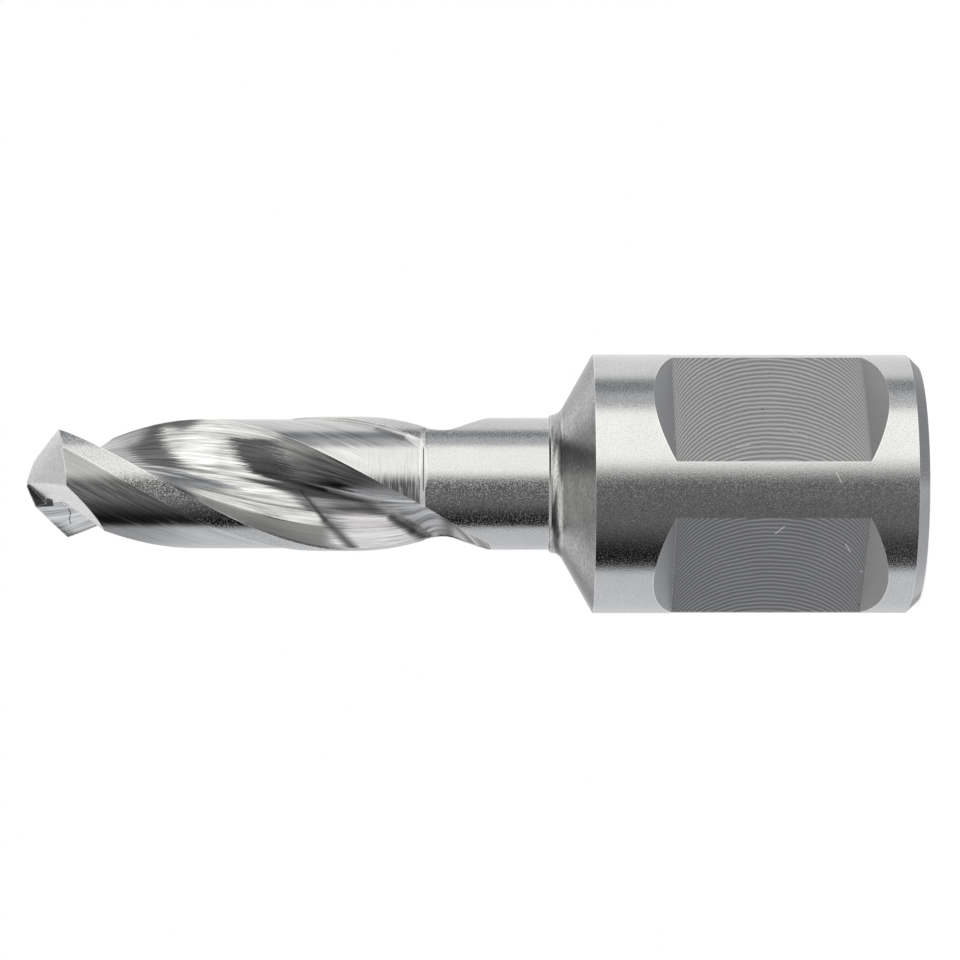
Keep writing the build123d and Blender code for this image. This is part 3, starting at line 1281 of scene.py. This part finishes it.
@dataclass
class Point:
    """The ground point: two flanks, two heel flats and the split.

    Args:
        start: the height above which its facets are.
        up_share: the least upward part of a facet's normal.
        pocket_from: the height where the painted shade in the split's pocket starts.
        pocket_radius: how far from the axis the pocket reaches.
        pocket_shade_level: how dark the painted shade in the pocket is.
        pocket_roughness: of the steel in it.
        facet: the facets' finish.
        marks: dark lines on its facets.
    """

    start: float = 57.0
    up_share: float = 0.55
    pocket_from: float = 63.55
    pocket_radius: float = 1.75
    pocket_shade_level: float = 0.07
    pocket_roughness: float = 0.3
    facet: GroundFinish = GroundFinish(
        0.91, 0.3, (8.0, 8.0, 8.0), 0.8, 0.001, patch_size=3.0, patch_share=0.35
    )
    marks: tuple[Mark, ...] = (
        Mark((-0.61, -1.01, 63.68), (0.53, -2.33, 62.60), 0.13, 0.12, 0.9),
        Mark((0.53, -2.33, 62.60), (0.73, -2.80, 62.04), 0.10, 0.12, 0.9),
        Mark((0.73, -2.80, 62.04), (0.40, -4.47, 59.83), 0.07, 0.4, 0.6),
        Mark((-2.09, -0.57, 62.51), (-2.71, -0.51, 62.42), 0.13, 0.1, 0.9),
        Mark((-2.71, -0.51, 62.42), (-3.22, -0.55, 62.54), 0.11, 0.1, 0.9),
        Mark((-3.22, -0.55, 62.54), (-3.74, -0.58, 62.50), 0.11, 0.1, 0.8),
        Mark((-2.04, -0.91, 63.96), (-2.17, -0.60, 62.67), 0.06, 0.35, 0.5),
    )

    def dress(self, graph: Graph, effects: Effects, place: Place, below: Surface) -> Surface:
        """Lays the finish of a point-grinding wheel on the facets, and painted shade in the split's
        pocket.

        Args:
            graph: the material's graph.
            effects: the shared groups.
            place: where the point is.
            below: the surface of the flutes and lands.

        Returns:
            The surface with the point's.
        """
        on_facet = self.mask(graph, place)
        # Painted shade in the split's pocket, a recess near the web.
        inside = graph.below(place.radius, self.pocket_radius)
        pocket_shade_mask = graph.product(graph.above(place.z, self.pocket_from), inside)
        pocket = Surface(self.pocket_shade_level, self.pocket_roughness, below.relief)
        surface = over(graph, pocket_shade_mask, below, pocket)
        surface = over(graph, on_facet, surface, self.facet.lay(graph, effects, place.point))
        return cut_all(self.marks, graph, effects, place, surface)

    def mask(self, graph: Graph, place: Place) -> Socket:
        """1 on the facets, which face the tip more than anything beside them does."""
        high = graph.above(place.z, self.start)
        up = graph.parts(place.facing)[2]
        return graph.product(high, graph.above(up, self.up_share))


@dataclass
class Drill:
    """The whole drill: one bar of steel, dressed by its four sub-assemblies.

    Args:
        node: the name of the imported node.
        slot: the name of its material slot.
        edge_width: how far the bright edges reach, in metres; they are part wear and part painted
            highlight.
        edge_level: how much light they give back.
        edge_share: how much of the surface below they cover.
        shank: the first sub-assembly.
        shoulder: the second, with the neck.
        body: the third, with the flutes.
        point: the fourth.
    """

    node: str = "twist_drill"
    slot: str = "high_speed_steel"
    edge_width: float = 0.00012
    edge_level: float = 1.0
    edge_share: float = 0.75
    shank: Shank = field(default_factory=Shank)
    shoulder: Shoulder = field(default_factory=Shoulder)
    body: Body = field(default_factory=Body)
    point: Point = field(default_factory=Point)

    def dress(self, effects: Effects) -> bpy.types.Object:
        """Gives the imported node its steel.

        Args:
            effects: the shared groups.

        Returns:
            The node's object.
        """
        material = bpy.data.materials.new(self.slot)
        material.use_nodes = True
        graph = Graph(material.node_tree)
        graph.tree.nodes.clear()
        body = self.body
        place = Place.read(graph, effects, body)
        past_shank = graph.above(place.z, self.shoulder.start)
        on_body = body.mask(graph, place)
        on_point = self.point.mask(graph, place)

        surface = self.shank.dress(graph, effects, place)
        surface = over(graph, past_shank, surface, self.shoulder.dress(graph, effects, place))
        surface = over(graph, on_body, surface, body.dress(graph, effects, place))
        surface = self.point.dress(graph, effects, place, surface)

        normal = self.shank.normal(graph, place, place.facing)
        normal = graph.either(past_shank, normal, self.shoulder.normal(graph, place, place.facing))
        normal = graph.either(on_body, normal, body.normal(graph, place, place.facing))
        normal = graph.either(on_point, normal, place.facing)
        # Brightened edges: part wear, part painted highlight.
        edge_wear_and_highlight = graph.node("Group", {"Width": self.edge_width}, node_tree=effects.edges).outputs["Mask"]
        edge_wear_and_highlight = graph.product(edge_wear_and_highlight, self.edge_share)
        level = graph.blend(edge_wear_and_highlight, surface.level, self.edge_level)
        grey = graph.node("CombineColor", {0: level, 1: level, 2: level}).outputs[0]
        relief = graph.product(surface.relief, MILLIMETRE)
        relief_feeds = {"Height": relief, "Strength": 1.0, "Distance": 1.0, "Normal": normal}
        bump = graph.node("Bump", relief_feeds)
        steel = graph.node(
            "BsdfPrincipled",
            {
                "Base Color": grey,
                "Metallic": 1.0,
                "Roughness": surface.roughness,
                "Normal": bump.outputs[0],
            },
        )
        out = graph.node("OutputMaterial")
        graph.feed(out.inputs[0], steel.outputs[0])
        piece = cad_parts[self.node]
        piece.data.materials.clear()
        piece.data.materials.append(material)
        return piece


class Tone(Enum):
    """The colour casts of the studio's panels."""

    WARM = (1.0, 0.995, 0.965)
    ROSE = (1.0, 0.965, 0.975)
    NEUTRAL = (1.0, 1.0, 1.0)
    COOL = (0.985, 1.0, 1.03)
    BLUE = (0.94, 0.99, 1.04)


@dataclass(frozen=True)
class Panel:
    """One panel of light or shade in the studio, seen from the drill.

    Args:
        end: the angle about the drill's axis where it ends, in degrees.
        level: how bright it is.
        soft: how many degrees its end takes to fade into the next panel.
        tone: its colour cast.
        slope: how many degrees its end moves on for each unit of height, so that the end leans.
    """

    end: float
    level: float
    soft: float
    tone: Tone = Tone.NEUTRAL
    slope: float = 0.0

    @property
    def colour(self) -> tuple[float, float, float, float]:
        """Its cast at its level."""
        red, green, blue = self.tone.value
        return (red * self.level, green * self.level, blue * self.level, 1.0)


@dataclass(frozen=True)
class Row:
    """Panels side by side right round the drill, from one height up to the next row.

    Args:
        bottom: the upward part of the direction where the row starts, from -1 to 1.
        soft: how much of that part the row takes to fade in.
        middle: where the ends of its panels are given.
        panels: in order of their ends, the last of them up to 180 degrees.
    """

    bottom: float
    soft: float
    middle: float
    panels: tuple[Panel, ...]

    def colour(self, graph: Graph, angle: Socket, height: Socket) -> Feed:
        """The row's colour in a direction.

        Args:
            graph: the world's graph.
            angle: of the direction about the axis, in degrees.
            height: the upward part of the direction.

        Returns:
            The colour.
        """
        rise = graph.maths(Maths.SUBTRACT, height, self.middle)
        colour: Feed = self.panels[0].colour
        for panel, following in zip(self.panels, self.panels[1:]):
            moved = graph.maths(Maths.MULTIPLY_ADD, rise, -panel.slope, angle)
            past = graph.step(moved, panel.end - panel.soft / 2, panel.end + panel.soft / 2)
            colour = graph.tint(past, colour, following.colour)
        return colour


@dataclass
class Studio:
    """A white backdrop, rows of panels around the drill and a soft lamp.

    Args:
        below: the lowest row of panels.
        ground: the row over it, and so on up to the ceiling.
        low: the third row.
        walls: the row that is level with the drill.
        high: the fifth row.
        top: the sixth row.
        ceiling: the highest row.
        backdrop_sides: the angles between which the steel mirrors the backdrop, and how soft they are.
        backdrop_heights: the upward parts between which it does, and how soft they are.
        backdrop_share: how much of the panels there the backdrop covers.
        lamp_azimuth: the lamp's angle about the axis, in degrees.
        lamp_rise: how high it is for each unit of its level distance.
        lamp_distance: from the origin, in metres.
        lamp_side: of its square, in metres.
        lamp_watts: its power.
    """

    below: Row = Row(
        -1.0,
        0.0,
        -0.73,
        (
            Panel(-150.0, 0.7, 20.0, Tone.COOL),
            Panel(-106.0, 0.25, 10.0),
            Panel(40.0, 0.9, 30.0),
            Panel(135.0, 0.45, 30.0, Tone.COOL),
            Panel(180.0, 0.8, 1.0, Tone.COOL),
        ),
    )
    ground: Row = Row(
        -0.65,
        0.03,
        -0.54,
        (
            Panel(-122.0, 0.78, 8.0, Tone.COOL),
            Panel(-103.0, 0.16, 8.0),
            Panel(-47.0, 0.98, 8.0, Tone.ROSE),
            Panel(-32.0, 0.6, 10.0),
            Panel(38.0, 1.15, 20.0, Tone.WARM),
            Panel(125.0, 0.5, 30.0, Tone.COOL),
            Panel(180.0, 0.87, 1.0, Tone.COOL),
        ),
    )
    low: Row = Row(
        -0.42,
        0.03,
        -0.28,
        (
            Panel(-116.0, 0.78, 10.0, Tone.COOL),
            Panel(-102.0, 0.4, 8.0),
            Panel(-85.0, 0.14, 10.0),
            Panel(-58.0, 0.24, 12.0, Tone.ROSE),
            Panel(-38.0, 0.4, 8.0, Tone.ROSE),
            Panel(-21.0, 0.26, 8.0),
            Panel(55.0, 1.12, 24.0, Tone.WARM),
            Panel(180.0, 0.48, 1.0),
        ),
    )
    walls: Row = Row(
        -0.17,
        0.04,
        0.0,
        (
            Panel(-124.0, 0.78, 12.0, Tone.COOL),
            Panel(-90.0, 0.01, 34.0, Tone.COOL),
            Panel(-30.0, 0.155, 24.0, Tone.ROSE),
            Panel(27.0, 1.42, 10.0, Tone.WARM),
            Panel(46.0, 0.58, 8.0, Tone.COOL),
            Panel(65.0, 0.29, 12.0, Tone.BLUE),
            Panel(150.0, 0.5, 30.0, Tone.NEUTRAL),
            Panel(180.0, 0.8, 1.0, Tone.COOL),
        ),
    )
    high: Row = Row(
        0.18,
        0.1,
        0.35,
        (
            Panel(-138.0, 0.22, 24.0),
            Panel(-100.0, 0.04, 30.0),
            Panel(-67.0, 0.09, 3.0, Tone.NEUTRAL, 66.0),
            Panel(-3.0, 1.2, 7.0, Tone.WARM, 120.0),
            Panel(45.0, 0.24, 10.0, Tone.NEUTRAL, 150.0),
            Panel(150.0, 0.8, 20.0),
            Panel(180.0, 0.3, 20.0),
        ),
    )
    top: Row = Row(
        0.5,
        0.14,
        0.6,
        (
            Panel(-165.0, 0.73, 8.0),
            Panel(-135.0, 0.12, 24.0),
            Panel(-53.0, 0.16, 3.0, Tone.NEUTRAL, 40.0),
            Panel(24.0, 1.05, 7.0, Tone.WARM, 100.0),
            Panel(56.0, 0.2, 14.0),
            Panel(97.0, 0.62, 14.0),
            Panel(150.0, 1.25, 20.0),
            Panel(180.0, 1.05, 1.0),
        ),
    )
    ceiling: Row = Row(
        0.74,
        0.02,
        0.78,
        (
            Panel(2.0, 1.1, 12.0, Tone.WARM, -150.0),
            Panel(45.0, 0.25, 10.0),
            Panel(102.0, 0.05, 10.0),
            Panel(180.0, 0.55, 1.0),
        ),
    )
    backdrop_sides: tuple[float, float, float] = (65.0, 150.0, 12.0)
    backdrop_heights: tuple[float, float, float] = (-0.17, 0.18, 0.06)
    backdrop_share: float = 0.9
    lamp_azimuth: float = -15.0
    lamp_rise: float = 0.62
    lamp_distance: float = 0.7
    lamp_side: float = 0.4
    lamp_watts: float = 0.15

    def _room(self, graph: Graph, angle: Socket, height: Socket) -> Socket:
        """The colour of the room in a direction, from every row of panels.

        Args:
            graph: the world's graph.
            angle: of the direction about the axis, in degrees.
            height: the upward part of the direction.

        Returns:
            The colour.
        """
        colour = self.below.colour(graph, angle, height)
        for row in (self.ground, self.low, self.walls, self.high, self.top, self.ceiling):
            share = graph.step(height, row.bottom - row.soft / 2, row.bottom + row.soft / 2)
            colour = graph.tint(share, colour, row.colour(graph, angle, height))
        return colour

    def _backdrop(self, graph: Graph, angle: Socket, height: Socket) -> Socket:
        """How much of the white backdrop the steel mirrors in a direction: it stands behind the drill.

        Args:
            graph: the world's graph.
            angle: of the direction about the axis, in degrees.
            height: the upward part of the direction.

        Returns:
            The share of white.
        """
        beside = graph.band(angle, *self.backdrop_sides)
        between = graph.band(height, *self.backdrop_heights)
        inside = graph.product(beside, between)
        return graph.product(inside, self.backdrop_share)

    def light(self) -> None:
        """Builds the world and the lamp."""
        world = bpy.data.worlds.new("studio")
        world.use_nodes = True
        graph = Graph(world.node_tree)
        graph.tree.nodes.clear()
        x, y, height = graph.parts(graph.node("TexCoord").outputs["Generated"])
        angle = graph.product(graph.maths(Maths.ANGLE, y, x), 180 / math.pi)
        room = graph.node("Background", {"Color": self._room(graph, angle, height), "Strength": 1.0})
        white = graph.node("Background", {"Color": WHITE, "Strength": 1.0})
        paths = graph.node("LightPath").outputs
        backdrop = self._backdrop(graph, angle, height)
        mirrored = graph.product(paths["Is Glossy Ray"], backdrop)
        seen = graph.maths(Maths.MOST, paths["Is Camera Ray"], paths["Is Transmission Ray"])
        seen = graph.maths(Maths.MOST, seen, mirrored)
        mixed = graph.node("MixShader", {0: seen, 1: room.outputs[0], 2: white.outputs[0]})
        out = graph.node("OutputWorld")
        graph.feed(out.inputs[0], mixed.outputs[0])
        bpy.context.scene.world = world

        data = bpy.data.lights.new("softbox", "AREA")
        data.shape = "RECTANGLE"
        data.size = self.lamp_side
        data.size_y = self.lamp_side
        data.energy = self.lamp_watts
        lamp = bpy.data.objects.new("softbox", data)
        azimuth = math.radians(self.lamp_azimuth)
        away = Vector((math.cos(azimuth), math.sin(azimuth), self.lamp_rise)).normalized()
        lamp.location = away * self.lamp_distance
        lamp.rotation_euler = away.to_track_quat("Z", "Y").to_euler()
        bpy.context.scene.collection.objects.link(lamp)


@dataclass
class Floor:
    """A pale round floor under the standing drill.

    Args:
        radius: of the floor, in metres.
        drop: how far it lies below the drill's end face.
        rings: how many rings of faces it has.
        spokes: how many faces are in a ring.
        colour: of the floor.
        glow: how much it shines for the camera alone, so that it looks white.
    """

    radius: float = 0.35
    drop: float = 0.00002
    rings: int = 24
    spokes: int = 96
    colour: tuple[float, float, float, float] = (0.85, 0.85, 0.85, 1.0)
    glow: float = 0.75

    def _mesh(self) -> bpy.types.Mesh:
        """A flat disc: each point is its ring's radius along its spoke's angle, at one height.

        Returns:
            The mesh.
        """
        ring = np.linspace(0, 1, self.rings + 1)[1:] ** 2 * self.radius
        spoke = np.linspace(0, 2 * np.pi, self.spokes, endpoint=False)
        reach, angle = np.meshgrid(ring, spoke, indexing="ij")
        x, y = reach * np.cos(angle), reach * np.sin(angle)
        points = np.stack([x, y, np.full_like(reach, -self.drop)], -1)
        points = np.concatenate([[[0.0, 0.0, -self.drop]], points.reshape(-1, 3)])
        index = 1 + np.arange(self.rings * self.spokes).reshape(self.rings, self.spokes)
        beside = np.roll(index, -1, axis=1)
        quads = np.stack([index[:-1], index[1:], beside[1:], beside[:-1]], -1).reshape(-1, 4)
        middle = np.stack([np.zeros(self.spokes, int), index[0], beside[0]], -1)
        mesh = bpy.data.meshes.new("floor")
        mesh.from_pydata(points.tolist(), [], quads.tolist() + middle.tolist())
        mesh.update()
        return mesh

    def build(self) -> bpy.types.Object:
        """Makes the floor, which looks white and still takes the drill's shadow.

        Returns:
            The floor's object.
        """
        floor = bpy.data.objects.new("floor", self._mesh())
        bpy.context.scene.collection.objects.link(floor)
        material = bpy.data.materials.new("pale_floor")
        material.use_nodes = True
        graph = Graph(material.node_tree)
        graph.tree.nodes.clear()
        matt = graph.node("BsdfDiffuse", {"Color": self.colour})
        paths = graph.node("LightPath").outputs
        glow = graph.product(paths["Is Camera Ray"], self.glow)
        shine = graph.node("Emission", {"Color": WHITE, "Strength": glow})
        both = graph.node("AddShader", {0: matt.outputs[0], 1: shine.outputs[0]})
        out = graph.node("OutputMaterial")
        graph.feed(out.inputs[0], both.outputs[0])
        floor.data.materials.append(material)
        floor.visible_glossy = False
        return floor


@dataclass
class Viewpoint:
    """The camera of the photograph: level with the drill and rolled, so that the tip is at the left.

    Args:
        azimuth: its angle about the drill's axis, in degrees.
        distance: from the axis, in metres.
        height: above the drill's end face, in metres.
        rise: how far it is moved up the picture, in metres.
        lens: its focal length, in millimetres.
        sensor: the width of its sensor, in millimetres.
        nearest: how near it still sees, in metres.
    """

    azimuth: float = -42.4
    distance: float = 0.268
    height: float = 0.032087
    rise: float = 0.00028
    lens: float = 136.5
    sensor: float = 36.0
    nearest: float = 0.01

    def build(self) -> bpy.types.Object:
        """Makes the camera: it looks at the axis, with the drill's +Z to the left of the picture.

        Returns:
            The camera's object.
        """
        azimuth = math.radians(self.azimuth)
        towards = Vector((math.cos(azimuth), math.sin(azimuth), 0))
        upwards = Vector((-math.sin(azimuth), math.cos(azimuth), 0))
        right = Vector((0, 0, -1))
        data = bpy.data.cameras.new("camera")
        data.lens = self.lens
        data.sensor_width = self.sensor
        data.clip_start = self.nearest
        camera = bpy.data.objects.new("camera", data)
        turned = Matrix((right, upwards, towards)).transposed().to_4x4()
        place = towards * self.distance + upwards * self.rise + Vector((0, 0, self.height))
        camera.matrix_world = Matrix.Translation(place) @ turned
        bpy.context.scene.collection.objects.link(camera)
        bpy.context.scene.camera = camera
        return camera


def main() -> None:
    """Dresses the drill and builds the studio."""
    logging.basicConfig(level=logging.INFO, format="%(name)s: %(message)s")
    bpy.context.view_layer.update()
    bpy.context.scene.view_settings.view_transform = "Standard"
    effects = Effects.build()
    piece = Drill().dress(effects)
    log.info("dressed %s, %d faces", piece.name, len(piece.data.polygons))
    log.info("floor %s", Floor().build().name)
    Studio().light()
    log.info("studio lit")
    log.info("camera %s", Viewpoint().build().name)


if __name__ == "__main__":
    main()
